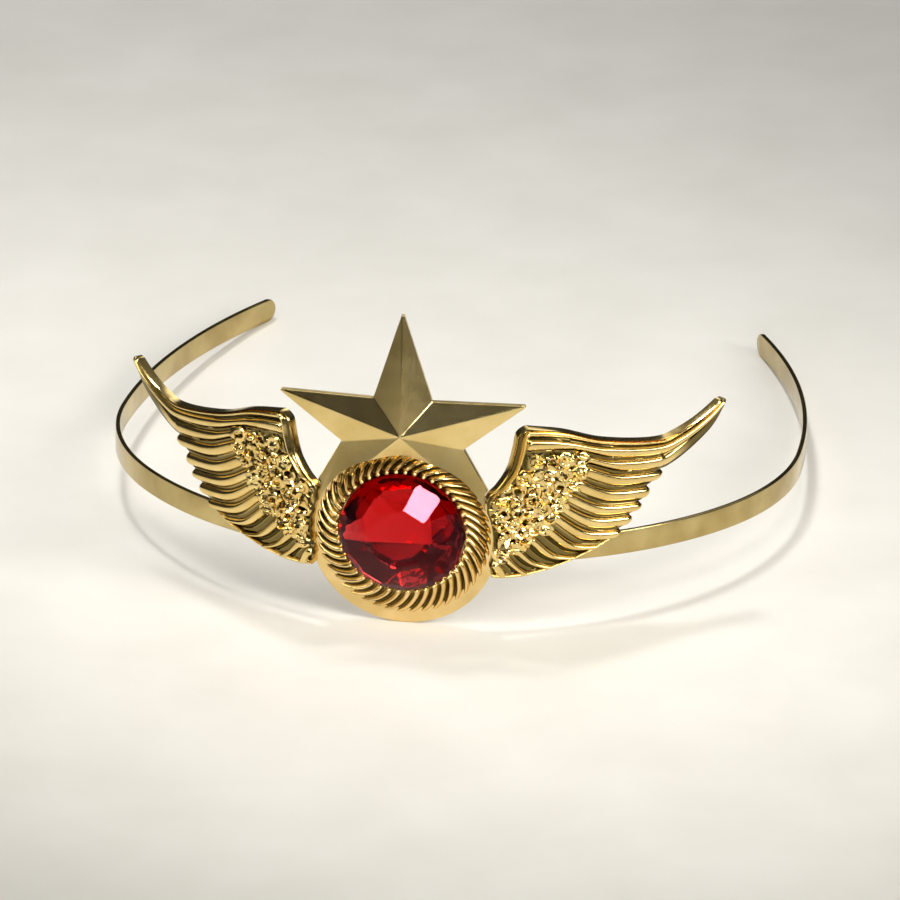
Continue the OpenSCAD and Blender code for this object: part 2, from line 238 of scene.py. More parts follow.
# Gold-coloured plating, polished: mostly mirror, so its look is what it reflects. A faint
# waviness bends the reflections and fine grit dulls them a little. Where a look names a groove
# colour, painted shade darkens and greens the grooves against the crests, read from the "height"
# that the pieces store.
def platedGold(name, look):
    material = bpy.data.materials.new(name)
    add = startShading(material)
    where = add("TexCoord")
    noise = {}
    for label, detail in (("cloud", 3.0), ("grit", 2.0), ("wave", 1.0)):
        noise[label] = add("TexNoise", {
            "Vector": where.outputs["Object"], "Scale": 1 / (look[label + "Size"] * mm),
            "Detail": detail}).outputs["Fac"]
    tint = add("ValToRGB", {"Fac": noise["cloud"]}, ramp=[
        (0.35, look["shade"]), (0.65, look["gold"])])
    colour = tint.outputs["Color"]
    # painted groove shade: the colour turns to the look's groove colour where the stored height is low
    if "groove" in look:
        height = add("Attribute", attribute_name="height")
        crest = add("MapRange", {
            "Value": height.outputs["Fac"], "From Max": look["grooveShadeTop"]},
            interpolation_type="SMOOTHSTEP")
        colour = add("Mix", {0: crest, 6: linear(look["groove"]), 7: colour}, "RGBA").outputs[2]
    dull = add("MapRange", {
        "Value": noise["grit"], "From Min": 0.3, "From Max": 0.7,
        "To Min": look["roughness"][0], "To Max": look["roughness"][1]})
    wavy = add("Bump", {
        "Height": noise["wave"], "Distance": look["waveDepth"] * mm, "Strength": 1.0})
    bumpy = add("Bump", {
        "Height": noise["grit"], "Distance": look["gritDepth"] * mm, "Strength": 1.0,
        "Normal": wavy})
    shader = add("BsdfPrincipled", {
        "Base Color": colour, "Metallic": 1.0, "Roughness": dull, "Normal": bumpy})
    add("OutputMaterial", {"Surface": shader})
    return material


# Band: flat spring strip. Curve to Mesh carries a rounded section along the hoop.
band = {
    "bevel": 0.25,
    "bevelPoints": 4,
    "arcSteps": (40, 22, 26),      # along half the brow arc, a temple and a leg
    "endSteps": 12,
    "endReach": 0.998,             # the last one stops short, so that the strip keeps some height
    # The band's gold and shade are darker than the plating's own colour: painted dark reflection,
    # standing in for dark surroundings mirrored in the strip.
    "look": {
        "gold": "#C9B47C", "shade": "#AE9860", "roughness": (0.1, 0.2), "cloudSize": 9,
        "gritSize": 0.5, "gritDepth": 0.002, "waveSize": 7, "waveDepth": 0.05},
}


def hoopPath():
    def arc(centre, radius, start, end, steps):
        return [(centre[0] + radius * cos(a), centre[1] + radius * sin(a))
                for a in (start + (end - start) * k / steps for k in range(1, steps + 1))]
    half = layers["hoopThickness"] / 2
    quarter = pi / 2
    brow, temple, leg = band["arcSteps"]
    right = (arc((0, 0), layers["browRadius"] - half, -quarter, browHalf - quarter, brow)
             + arc(templeCentre, layers["templeRadius"] - half, browHalf - quarter, 0, temple)
             + arc(legCentre, layers["legRadius"] - half, 0, legTurn, leg))
    # the rounded ends: shrinking steps over half the strip's height
    tip = right[-1]
    reach = layers["hoopHeight"] / 2
    for k in range(1, band["endSteps"] + 1):
        out = reach * sin(quarter * k / band["endSteps"]) * band["endReach"]
        right.append((tip[0] - out * sin(legTurn), tip[1] + out * cos(legTurn)))
    return [(-x, y) for x, y in reversed(right)] + [(0, half - layers["browRadius"])] + right


def makeBand():
    path = hoopPath()
    curve = bpy.data.curves.new("hoopLine", "CURVE")
    curve.dimensions = "3D"
    spline = curve.splines.new("POLY")
    spline.points.add(len(path) - 1)
    for spot, (x, y) in zip(spline.points, path):
        spot.co = (x * mm, y * mm, 0, 1)
    sizes = {"Thickness": layers["hoopThickness"] * mm, "Height": layers["hoopHeight"] * mm,
             "Bevel": band["bevel"] * mm}
    tree, size, add = startTree("bandStrip", sizes)
    # distance to the nearer end, for the rounding
    along = add("SplineParameter")
    length = add("SplineLength")
    left = add("Math", [length, along.outputs["Length"]], "SUBTRACT")
    nearest = add("Math", [along.outputs["Length"], left], "MINIMUM")
    half = add("Math", [size["Height"], 0.5], "MULTIPLY")
    share = add("Math", [nearest, half], "DIVIDE", use_clamp=True)
    inner = add("Math", [1.0, share], "SUBTRACT")
    square = add("Math", [inner, 2.0], "POWER")
    rest = add("Math", [1.0, square], "SUBTRACT")
    width = add("Math", [rest], "SQRT")
    upright = add("SetCurveNormal", [size["Geometry"]], mode="Z_UP")
    kept = add("StoreNamedAttribute", {0: upright, "Name": "width", "Value": width})
    section = add("CurvePrimitiveQuadrilateral", [size["Thickness"], size["Height"]])
    rounded = add("FilletCurve", {
        "Curve": section, "Radius": size["Bevel"], "Count": band["bevelPoints"]}, mode="POLY")
    strip = add("CurveToMesh", {0: kept, 1: rounded, "Fill Caps": True})
    widthRead = add("InputNamedAttribute", {"Name": "width"})
    spot = add("InputPosition")
    axes = add("SeparateXYZ", [spot])
    lower = add("Math", [axes.outputs["Z"], widthRead], "MULTIPLY")
    placed = add("CombineXYZ", [axes.outputs["X"], axes.outputs["Y"], lower])
    shaped = add("SetPosition", {0: strip, "Position": placed})
    endTree(add, size, shaped)
    finish = platedGold("gilt spring steel, polished", band["look"])
    piece = growPiece("bandPiece", startObject("hoopLine", curve), tree, sizes, finish, 30)
    pivot = Vector((0, arcY - layers["browRadius"], layers["hoopFrontZ"])) * mm
    piece.data.transform(Matrix.Translation(pivot) @ Matrix.Rotation(-stance, 4, "X")
                         @ Matrix.Translation((0, layers["browRadius"] * mm, 0)))
    return piece


# Setting: a disc with a plain flange, and on it a closed ring of twisted flutes
setting = {
    "flutes": 44,
    "flutePoints": 12,        # across one flute
    "rows": 44,               # round the ring's section
    "twist": 18,              # degrees, between foot and stone
    "beadTurn": 3.4,          # degrees from there to the bead
    "ringLift": 0.02,         # ring's foot over the cup's floor
    "cupRadius": 12.65,
    "edge": 0.3,              # rounding of the disc's edge
    "edgeSteps": 5,
    "discSides": 176,
    "sizes": {                # what the node tree takes too, in millimetres
        "Height": 2.3, "Groove Depth": 0.95, "Bead Radius": 0.45, "Bead Height": 2.4,
        "Bead Out": 0.48},    # from the cup's edge to the beads' centres
    "look": {
        # groove is painted shade, full where a flute's groove is deepest
        "gold": "#F0D498", "shade": "#E2C482", "groove": "#5A4A26", "grooveShadeTop": 0.6,
        "roughness": (0.12, 0.22), "cloudSize": 6, "gritSize": 0.4, "gritDepth": 0.002,
        "waveSize": 4, "waveDepth": 0.02},
}


# Disc with its flange and the cup's floor, ring by ring from the back's middle to the floor's
def makeDisc():
    n = setting["discSides"]
    edge = setting["edge"]
    turns = [pi / 2 * k / setting["edgeSteps"] for k in range(setting["edgeSteps"] + 1)]
    front = layers["discThickness"]
    flat = discRadius - edge
    rings = ([(flat + edge * sin(a), edge - edge * cos(a), 0) for a in turns]
             + [(flat + edge * cos(a), front - edge + edge * sin(a), 0) for a in turns]
             + [(layers["footRadius"], front, layers["borderUp"]),
                (setting["cupRadius"], front, layers["stoneUp"]),
                (setting["cupRadius"], layers["cupFloor"], layers["stoneUp"])])
    points = [(r * cos(a), discBack - h, discZ + up + r * sin(a))
              for r, h, up in rings for a in (2 * pi * j / n for j in range(n))]
    faces = [[i * n + j, i * n + (j + 1) % n, (i + 1) * n + (j + 1) % n, (i + 1) * n + j]
             for i in range(len(rings) - 1) for j in range(n)]
    middles = ((0, discBack, discZ), (0, discBack - layers["cupFloor"], stoneZ))
    for base, middle in zip((0, (len(rings) - 1) * n), middles):
        points.append(middle)
        faces += [[base + j, base + (j + 1) % n, len(points) - 1] for j in range(n)]
    return meshFrom("disc", points, faces)


# The ring is a grid that wraps both ways: u round the ring, v round its section
def makeSetting():
    sizes = {key: value * mm for key, value in setting["sizes"].items()}
    sizes.update({
        "Flutes": setting["flutes"], "Flute Points": setting["flutePoints"], "Rows": setting["rows"],
        "Twist": radians(setting["twist"]), "Bead Turn": radians(setting["beadTurn"]),
        "Foot Radius": layers["footRadius"] * mm, "Cup Radius": setting["cupRadius"] * mm,
        "Foot Up": layers["borderUp"] * mm, "Cup Up": layers["stoneUp"] * mm})
    tree, size, add = startTree("ropeBorder", sizes)
    around = add("Math", [size["Flutes"], size["Flute Points"]], "MULTIPLY")
    aroundPlus = add("Math", [around, 1.0], "ADD")
    grid = add("MeshGrid", {
        "Size X": 1.0, "Size Y": 1.0, "Vertices X": aroundPlus, "Vertices Y": size["Rows"]})
    uv = add("SeparateXYZ", [grid.outputs["UV Map"]])
    inward = add("FloatCurve", {"Value": uv.outputs["Y"]}, points=[
        (0, 0), (0.12, 0.1), (0.28, 0.3), (0.44, 0.55), (0.58, 0.78), (0.68, 0.93), (0.74, 1),
        (0.85, 1), (0.93, 0.4), (1, 0)])
    rise = add("FloatCurve", {"Value": uv.outputs["Y"]}, points=[
        (0, 0), (0.07, 0.28), (0.14, 0.44), (0.28, 0.74), (0.44, 0.95), (0.58, 1), (0.68, 0.9),
        (0.74, 0.66), (0.85, 0), (0.93, 0), (1, 0)])
    cut = add("FloatCurve", {"Value": uv.outputs["Y"]}, points=[
        (0, 0), (0.04, 0.5), (0.1, 0.8), (0.25, 1), (0.44, 1), (0.6, 0.9), (0.7, 0.7),
        (0.77, 0.3), (0.85, 0), (1, 0)])
    turn = add("FloatCurve", {"Value": inward}, points=[
        (0, 0), (0.25, 0.34), (0.5, 0.64), (0.8, 0.92), (1, 1)])
    # angle, radius and centre of each point
    circle = add("Math", [uv.outputs["X"], 2 * pi], "MULTIPLY")
    angle = add("Math", [turn, size["Twist"], circle], "MULTIPLY_ADD")
    radius = add("Mix", {0: inward, 2: size["Foot Radius"], 3: size["Cup Radius"]})
    up = add("Mix", {0: inward, 2: size["Foot Up"], 3: size["Cup Up"]})
    # crest of a flute, from its groove over a round back
    phase = add("Math", [uv.outputs["X"], size["Flutes"]], "MULTIPLY")
    across = add("Math", [phase], "FRACT")
    crest = add("FloatCurve", {"Value": across}, points=[
        (0, 0), (0.12, 0.08), (0.3, 0.72), (0.48, 1), (0.68, 0.82), (0.88, 0.2), (1, 0)])
    groove = add("Math", [1.0, crest], "SUBTRACT")
    depth = add("Math", [groove, cut], "MULTIPLY")
    drop = add("Math", [depth, size["Groove Depth"]], "MULTIPLY")
    crown = add("Math", [rise, size["Height"]], "MULTIPLY")
    high = add("Math", [crown, drop], "SUBTRACT")
    x = add("Math", [angle], "COSINE")
    z = add("Math", [angle], "SINE")
    xOut = add("Math", [x, radius], "MULTIPLY")
    zOut = add("Math", [z, radius, up], "MULTIPLY_ADD")
    yOut = add("Math", [high, -1.0], "MULTIPLY")
    place = add("CombineXYZ", [xOut, yOut, zOut])
    # the groove's depth as a height, stored for the finish's painted groove shade
    shallow = add("Math", [1.0, depth], "SUBTRACT")
    noted = add("StoreNamedAttribute", {0: grid, "Name": "height", "Value": shallow})
    bent = add("SetPosition", {0: noted, "Position": place})
    closed = add("MergeByDistance", {0: bent, "Distance": 0.000001})
    # beads at the inner ends of the flutes
    beadRadius = add("Math", [size["Cup Radius"], size["Bead Out"]], "ADD")
    beadRing = add("MeshCircle", {"Vertices": size["Flutes"], "Radius": beadRadius})
    bead = add("MeshIcoSphere", {"Radius": size["Bead Radius"], "Subdivisions": 3})
    beads = add("InstanceOnPoints", {0: beadRing, "Instance": bead})
    phaseTurn = add("Math", [size["Twist"], size["Bead Turn"]], "ADD")
    beadDepth = add("Math", [size["Bead Height"], -1.0], "MULTIPLY")
    beadSpin = add("CombineXYZ", {2: phaseTurn})
    spun = add("Transform", {0: beads, "Rotation": beadSpin})
    beadPlace = add("CombineXYZ", {1: beadDepth, 2: size["Cup Up"]})
    stood = add("Transform", {0: spun, "Translation": beadPlace, "Rotation": (pi / 2, 0, 0)})
    # the beads, and below them the disc, store a full height, so they get no painted groove shade
    beadNoted = add("StoreNamedAttribute", {
        0: add("RealizeInstances", [stood]), "Name": "height", "Value": 1.0})
    plain = add("StoreNamedAttribute", {0: size["Geometry"], "Name": "height", "Value": 1.0})
    onDisc = add("JoinGeometry", [[closed, beadNoted]])
    front = (0, (discBack - layers["cupFloor"] - setting["ringLift"]) * mm, discZ * mm)
    moved = add("Transform", {0: onDisc, "Translation": front})
    whole = add("JoinGeometry", [[moved, plain]])
    endTree(add, size, whole)
    finish = platedGold("gilt cast border, polished", setting["look"])
    piece = growPiece("settingPiece", startObject("disc", makeDisc()), tree, sizes, finish, 50)
    outward(piece.data)
    return piece


# Turns the faces of each closed part outwards
def outward(mesh):
    work = bmesh.new()
    work.from_mesh(mesh)
    bmesh.ops.recalc_face_normals(work, faces=work.faces)
    work.to_mesh(mesh)
    work.free()


# Stone: a round of clear acrylic, cut facet by facet. Each row of facets is a count, the turn
# of its first facet, the slope of its facets in degrees, and a point that their planes pass.
stone = {
    "radius": 12.5,
    "girdle": 3,
    "crown": 2.8,
    "sides": 96,
    "turn": 15,
    "crownRows": [            # count, turn, slope, radius and height above the girdle
        (8, 0, 23.0, 12.5, 0.0),
        (8, 22.5, 24.0, 6.39, 2.8),
        (16, 0, 35.0, 12.1, 0.0),
    ],
    "pavilionRows": [         # the same, downwards from the height where they start
        (8, 7.5, 10.6, 12.5, 2.1),
    ],
    "culetAside": (1.6, 1.6),  # the pavilion's point lies off centre
    "pavilionLean": (-3.2, -3, 0),  # degrees that it leans, as the stone sits in its glue
    "weld": 0.02,              # corners closer than this are one
    "bevel": 0.05,
    "bevelFrom": 6,            # degrees between the facets that get one
    "foilFrom": 0.8,           # facets that look back this much, of 1, carry foil
    "creaseSize": 2.5,
    "creaseDepth": 0.03,
}


def cutStone():
    work = bmesh.new()
    depth = stone["girdle"] + stone["crown"]
    bmesh.ops.create_cone(work, cap_ends=True, segments=stone["sides"], radius1=stone["radius"],
                          radius2=stone["radius"], depth=depth,
                          matrix=Matrix.Translation((0, 0, depth / 2)))
    cuts = [(row, 1, stone["girdle"]) for row in stone["crownRows"]]
    cuts += [(row, -1, 0) for row in stone["pavilionRows"]]
    for (count, first, slope, reach, level), sign, base in cuts:
        for k in range(count):
            a = radians(stone["turn"] + first + 360 * k / count)
            tilt = radians(slope)
            flat = sin(tilt)
            normal = Vector((flat * cos(a), flat * sin(a), sign * cos(tilt)))
            if sign < 0:
                normal.rotate(Euler([radians(lean) for lean in stone["pavilionLean"]]))
            aside = stone["culetAside"] if sign < 0 else (0, 0)
            onPlane = Vector((
                reach * cos(a) + aside[0], reach * sin(a) + aside[1], base + level))
            cut = bmesh.ops.bisect_plane(work, geom=work.verts[:] + work.edges[:] + work.faces[:],
                                         plane_co=onPlane, plane_no=normal, clear_outer=True, dist=1e-5)
            rim = [e for e in cut["geom_cut"] if isinstance(e, bmesh.types.BMEdge)]
            if rim:
                bmesh.ops.edgeloop_fill(work, edges=rim)
    bmesh.ops.remove_doubles(work, verts=work.verts[:], dist=stone["weld"])
    bmesh.ops.recalc_face_normals(work, faces=work.faces)
    return work


# Clear red acrylic (PMMA), moulded and polished: it swallows green and blue within a few
# millimetres, so it is bright red where light comes straight back and wine red elsewhere
def redAcrylic():
    material = bpy.data.materials.new("red acrylic, polished")
    add = startShading(material)
    shader = add("BsdfPrincipled", {
        "Base Color": linear("#FF8C8C"), "Roughness": 0.015, "IOR": 1.49, "Transmission Weight": 1.0,
        "Specular Tint": linear("#F07C90")})
    inside = add("VolumeAbsorption", {"Color": linear("#F2002B"), "Density": 230.0})
    add("OutputMaterial", {"Surface": shader, "Volume": inside})
    return material


# Mirror foil pressed on the stone's back: silver-bright, a little uneven
def mirrorFoil():
    material = bpy.data.materials.new("mirror foil, pressed")
    add = startShading(material)
    where = add("TexCoord")
    crease = add("TexNoise", {
        "Vector": where.outputs["Object"], "Scale": 1 / (stone["creaseSize"] * mm), "Detail": 2.0})
    bump = add("Bump", {
        "Height": crease.outputs["Fac"], "Distance": stone["creaseDepth"] * mm, "Strength": 1.0})
    shader = add("BsdfPrincipled", {
        "Base Color": linear("#D89C9C"), "Metallic": 1.0, "Roughness": 0.05, "Normal": bump})
    add("OutputMaterial", {"Surface": shader})
    return material


def makeStone():
    work = cutStone()
    bmesh.ops.bevel(work, geom=[e for e in work.edges if len(e.link_faces) == 2
                                and e.calc_face_angle() > radians(stone["bevelFrom"])],
                    offset=stone["bevel"], segments=1, affect="EDGES", clamp_overlap=True)
    mesh = bpy.data.meshes.new("stonePiece")
    work.to_mesh(mesh)
    work.free()
    # stand it up: its own height becomes the way out of the cup
    back = discBack - layers["cupFloor"] - layers["seatGap"]
    mesh.transform(Matrix.Translation((0, back * mm, stoneZ * mm))
                   @ Matrix.Rotation(pi / 2, 4, "X") @ Matrix.Scale(mm, 4))
    piece = finishPiece("stonePiece", mesh, None, 3)
    mesh.materials.append(redAcrylic())
    mesh.materials.append(mirrorFoil())
    for face in mesh.polygons:
        face.material_index = 1 if face.normal.y > stone["foilFrom"] else 0
    return piece


# Star: stamped sheet with a raised middle, cut round the rope border and beside the wings
star = {
    "radius": 25.2,
    "sheet": 0.9,
    "relief": 3.2,
    "outline": [              # right half from the top down: side and up, as shares of the radius
        (0, 1), (0.234, 0.27), (0.976, 0.286), (0.488, -0.123), (0.87, -0.84), (0, -0.3)],
    "pointsOut": 1.02,        # the points before they are blunted, as a share of their place
    "blunt": 0.04,            # share by which the points are cut short
    "softRidge": 0.4,         # rounding of the ridges and of the outline
    "softEdge": 0.2,
    "cutSides": 128,          # of the round body that it is cut to
    "cutDepth": (1, -12),     # from behind the disc's front to beyond the peak
    "cutLow": 5,              # height above the floor where the wings' cut ends
    "look": {
        "gold": "#E6CE90", "shade": "#D6BC7A", "roughness": (0.13, 0.24), "cloudSize": 8,
        "gritSize": 0.35, "gritDepth": 0.002, "waveSize": 5, "waveDepth": 0.04},
}


def makeStar():
    right = star["outline"]
    tips = right + [(-x, y) for x, y in reversed(right[1:-1])]
    ring = []
    for i, (x, y) in enumerate(tips):
        if i % 2:
            ring.append((x, y))
            continue
        # a blunt point: two corners a little short of the tip
        tip = Vector((x, y)) * star["pointsOut"]
        ring += [tuple(tip.lerp(Vector(near), star["blunt"]))
                 for near in (tips[i - 1], tips[(i + 1) % len(tips)])]
    work = bmesh.new()
    r = star["radius"]
    back = [work.verts.new((x * r, 0, y * r)) for x, y in ring]
    front = [work.verts.new((x * r, -star["sheet"], y * r)) for x, y in ring]
    hollow = work.verts.new((0, -star["relief"], 0))
    peak = work.verts.new((0, -star["relief"] - star["sheet"], 0))
    n = len(ring)
    for i in range(n):
        j = (i + 1) % n
        work.faces.new((front[i], front[j], peak))
        work.faces.new((back[j], back[i], hollow))
        work.faces.new((back[i], back[j], front[j], front[i]))
    bmesh.ops.recalc_face_normals(work, faces=work.faces)
    weight = work.edges.layers.float.new("bevel_weight_edge")
    for edge in work.edges:
        if peak in edge.verts:
            edge[weight] = 1.0
        elif all(v in front for v in edge.verts):
            edge[weight] = star["softEdge"] / star["softRidge"]
    mesh = bpy.data.meshes.new("starPiece")
    work.to_mesh(mesh)
    work.free()
    place = (0, (discFront - layers["seatGap"]) * mm, starZ * mm)
    mesh.transform(Matrix.Translation(place) @ Matrix.Scale(mm, 4))
    piece = startObject("starStart", mesh)
    soft = piece.modifiers.new("soft edges", "BEVEL")
    soft.limit_method = "WEIGHT"
    soft.width = star["softRidge"] * mm
    soft.segments = 3
    for cutter in starCutters():
        cut = piece.modifiers.new("cut", "BOOLEAN")
        cut.object = cutter
        cut.operation = "DIFFERENCE"
        cut.solver = "EXACT"
    seen = piece.evaluated_get(bpy.context.evaluated_depsgraph_get())
    plain = bpy.data.meshes.new_from_object(seen)
    for old in [piece] + [m.object for m in piece.modifiers if m.type == "BOOLEAN"]:
        bpy.data.objects.remove(old)
    return finishPiece("starPiece", plain, platedGold("gilt stamped sheet, polished", star["look"]), 12)


# What the star is cut to: a round body in the rope border's place, and the wings' inner ends
def starCutters():
    n = star["cutSides"]
    radius = layers["footRadius"] + layers["ringGap"]
    circle = [(radius * cos(a), borderZ + radius * sin(a))
              for a in (2 * pi * k / n for k in range(n))]
    outlines = [circle]
    inner = [(p[0] - layers["ringGap"], p[1] + layers["ringGap"]) for p in
             (wingSpot(g[0], g[1]) for g in wing["grooves"])]
    far = wing["innerEnd"] + wing["length"]
    low = star["cutLow"]
    shadow = inner + [(inner[-1][0], low), (far, low), (far, inner[0][1])]
    outlines += [shadow, [(-x, z) for x, z in reversed(shadow)]]
    depths = [discFront + d for d in star["cutDepth"]]
    cutters = []
    for outline in outlines:
        count = len(outline)
        points = [(x, y, z) for y in depths for x, z in outline]
        faces = [list(range(count)), list(range(2 * count - 1, count - 1, -1))]
        faces += [[j, (j + 1) % count, count + (j + 1) % count, count + j] for j in range(count)]
        mesh = meshFrom("cutter", points, faces)
        outward(mesh)
        cutters.append(startObject("cutter", mesh))
    return cutters


# Wings: a bent cast plate with a rim, long feathers and a field of little loops for coverts.
# Each groove between two feathers runs through four places, side and up, as shares of the
# wing's length and height: at the inner edge, at the feather's root, its middle and its end.
wing = {
    "innerEnd": 17,
    "length": 42,
    "height": 32.8,
    "lowEdge": 11.8,
    "plate": 1.2,
    "bendRadius": 115,
    "sweep": 23.5,            # degrees that the inner end faces outwards
    "forward": 0.9,           # from the disc's front to its back there
    "shoulder": 1.6,          # rounding of the top corner
    "tipOut": 1.1,            # bulge of a feather's end, and of one on the lower rim
    "lipOut": 0.1,
    "endRound": (0, 0.8, 1, 0.6, 0),    # how far a feather's end bulges, across it
    "hornWay": (0.75, 0.66),  # way that the long tip points
    "hornRound": 0.9,         # rounding of its end
    "seatEdge": 0.8,          # the back lies flat this far out from the disc's edge
    "grooves": [
        (0.133, 0.988, 0.324, 0.933, 0.500, 0.829, 0.752, 0.744),
        (0.119, 0.927, 0.319, 0.878, 0.510, 0.777, 0.752, 0.704),
        (0.105, 0.823, 0.371, 0.780, 0.538, 0.683, 0.748, 0.631),
        (0.081, 0.713, 0.424, 0.677, 0.562, 0.582, 0.738, 0.540),
        (0.038, 0.622, 0.400, 0.595, 0.533, 0.488, 0.683, 0.451),
        (-0.007, 0.555, 0.348, 0.527, 0.490, 0.402, 0.650, 0.357),
        (-0.007, 0.482, 0.319, 0.460, 0.462, 0.323, 0.610, 0.287),
        (-0.007, 0.409, 0.300, 0.393, 0.433, 0.244, 0.567, 0.207),
        (-0.007, 0.341, 0.267, 0.332, 0.390, 0.177, 0.505, 0.137),
        (-0.007, 0.280, 0.214, 0.268, 0.319, 0.125, 0.424, 0.091),
        (-0.007, 0.226, 0.143, 0.210, 0.229, 0.091, 0.319, 0.046),
        (-0.007, 0.174, 0.086, 0.165, 0.143, 0.079, 0.214, 0.015),
        (-0.007, 0.128, 0.045, 0.125, 0.076, 0.073, 0.110, 0.003),
        (-0.007, 0.085, 0.007, 0.079, 0.010, 0.055, 0.012, 0.018),
    ],
    "horn": [                 # the long tip: upper edge, then lower edge
        (0.752, 0.744, 0.738, 0.540),
        (0.810, 0.759, 0.800, 0.564),
        (0.886, 0.799, 0.883, 0.634),
        (0.948, 0.848, 0.957, 0.723),
        (0.979, 0.878, 1.002, 0.826),
    ],
    "wholeFeathers": 2,       # these run whole from the shoulder
    "hornFeathers": 3,        # these end in the long tip
    "lipFeather": 8,          # from this one on they end on the lower rim
    "acrossSteps": 16,
    "rimSteps": 12,
    "covertSteps": 34,
    "halfSteps": (14, 24),
    "hornSteps": 40,
    "crowding": (1.5, 1.3),   # how columns crowd towards the feathers' ends and the long tip's
    "rimShare": 0.45,         # most of a row's first part that the rim takes
    "rimMargin": 0.1,         # its columns run on this far
    "rimFade": (6.2, 1.8),    # feather by which the rim has narrowed, and over how many
    "rimLeft": 0.1,           # share of its width and height below them
    "rimBlend": 0.25,         # rounding where it turns along the top edge
    "hornStart": 0.2,         # how far the lines have flattened where the long tip starts
    "hornGain": 2.2,          # how fast they flatten along it
    "hornFlat": 0.85,         # share by which the ridges have sunk then
    "ridgeAt": 0.44,          # places across a feather, as shares of its width
    "lineAt": 0.9,
    "ridgeRoom": 0.84,        # most that the ridge takes
    "seed": 7,
    "coverts": {
        "pitch": 2.7,         # along a row of loops
        "roundUp": 0.3,
        "loose": 0.22,        # how far a loop is off its place
        "rimGap": 0.9,        # between the rim and a row's start
        "overlap": 0.7,       # past the feathers' roots
        "leastRoom": 1.2,
        "stagger": (0.65, 0.3),    # first loop's place in a pitch, in even and odd rows
        "rowHeight": 2.4,     # height of a row for a loop of the plain width
        "girth": (0.85, 1.15),     # least and most width that a row's height gives
        "lastStretch": 1.25,  # length of a row's last loop
        "fill": (0.8, 0.06),  # share of the loops with a dome, and how it falls from row to row
        "tilt": (0.22, 0.36),      # slope of a loop, and how high its middle lies
        "swing": 0.35,        # turn either way, radians
        "vary": ((0.88, 0.88, 0.85), (1.12, 1.1, 1.2)),    # least and most length, width, height
        # shine: the height that the painted groove shade reads on the loops, above grooveShadeTop, so
        # they get none
        "shine": 0.9,         # the height that the finish reads on them
    },
    "sizes": {                # what the node tree takes, in millimetres
        "Ridge Height": 1.0, "Ridge Width": 2.6, "Low Ridge Width": 1.6, "Line Width": 0.34,
        "Line Height": 0.3, "Strip Height": 0.14, "Rim Height": 0.95, "Rim Width": 2.2,
        "Lip Height": 0.85, "Lip Width": 1.2, "Covert Bump": 0.35, "Bump Size": 1.2,
        "Root Fade": 1.6, "End Fade": 1.3, "Loop Wire": 0.48, "Loop Width": 0.94,
        "Loop Length": 1.1, "Dome": 0.95, "Dent Size": 1.1, "Dent Depth": 1.3},
    "look": {
        # groove is painted shade on the low ground and in the grooves, full where the relief is lowest
        "gold": "#EFD490", "shade": "#E2C278", "groove": "#4C421E", "grooveShadeTop": 0.6,
        "roughness": (0.11, 0.2), "cloudSize": 7, "gritSize": 0.4, "gritDepth": 0.002,
        "waveSize": 3, "waveDepth": 0.015},
}


def wingSpot(x, z):
    return (wing["innerEnd"] + x * wing["length"], wing["lowEdge"] + z * wing["height"])


sweep = radians(wing["sweep"])
bendCentre = (wing["innerEnd"] - wing["bendRadius"] * sin(sweep),
              discFront - wing["forward"] + wing["bendRadius"] * cos(sweep))


# Place on the bent plate, h above its back, and the way that the plate faces there
def onWing(x, z, h):
    a = asin((x - bendCentre[0]) / wing["bendRadius"])
    out = Vector((sin(a), -cos(a), 0))
    return Vector((bendCentre[0], bendCentre[1], z)) + out * (wing["bendRadius"] + h), out


def onBack(x, z):
    spot = onWing(x, z, 0)[0]
    if hypot(x, z - discZ) < discRadius + wing["seatEdge"]:
        spot = Vector((x, discFront - layers["seatGap"], z))
    return spot


def endBulge(cell):
    bulge = [(out,) for out in wing["endRound"]]
    return smoothAt(bulge, cell * (len(bulge) - 1))[0]


# The places that row s runs through; s counts feathers from the top edge
def bodyPath(s):
    g = smoothAt(wing["grooves"], s)
    inner, root, mid, end = (wingSpot(g[k], g[k + 1]) for k in (0, 2, 4, 6))
    up = inner[1] - borderZ
    r = layers["footRadius"] + layers["ringGap"]
    x = max(inner[0], sqrt(r * r - up * up)) if abs(up) < r else inner[0]
    top = wingSpot(0, wing["grooves"][0][1])[1]
    left = max(wing["shoulder"] - (top - inner[1]), 0)
    x += wing["shoulder"] - sqrt(wing["shoulder"] ** 2 - left ** 2)
    if s > wing["hornFeathers"]:
        reach = (wing["tipOut"] if s < wing["lipFeather"] else wing["lipOut"]) * endBulge(s % 1)
        way = Vector(end) - Vector(mid)
        end = tuple(Vector(end) + way.normalized() * reach)
    return [(x, inner[1]), root, mid, end]


def hornSpot(s, t):
    h = smoothAt(wing["horn"], t)
    top = wing["grooves"][0][7]
    f = (top - smoothAt(wing["grooves"], s)[7]) / (top - wing["grooves"][wing["hornFeathers"]][7])
    x, z = wingSpot(h[0] * (1 - f) + h[2] * f, h[1] * (1 - f) + h[3] * f)
    # the end is round
    last = max(t - (len(wing["horn"]) - 2), 0)
    way = Vector(wing["hornWay"]) * wing["hornRound"] * last ** 2 * (1 - (2 * f - 1) ** 2)
    return (x + way.x, z + way.y)


def rowPath(s):
    path = bodyPath(s)
    if s <= wing["hornFeathers"]:
        path += [hornSpot(s, t) for t in range(1, len(wing["horn"]))]
    return path


# Place at step t of row s. Below the whole feathers a row runs straight through the coverts
# and takes its feather's own direction from the root on.
def rowSpot(path, s, t):
    own = min(max(s - wing["wholeFeathers"], 0), 1)
    inner, root, mid = (Vector(p) for p in path[:3])
    if t < 1:
        return alongPath(path, t).lerp(inner.lerp(root, t), own)
    return alongPath([inner.lerp(root * 2 - mid, own)] + path[1:], t)


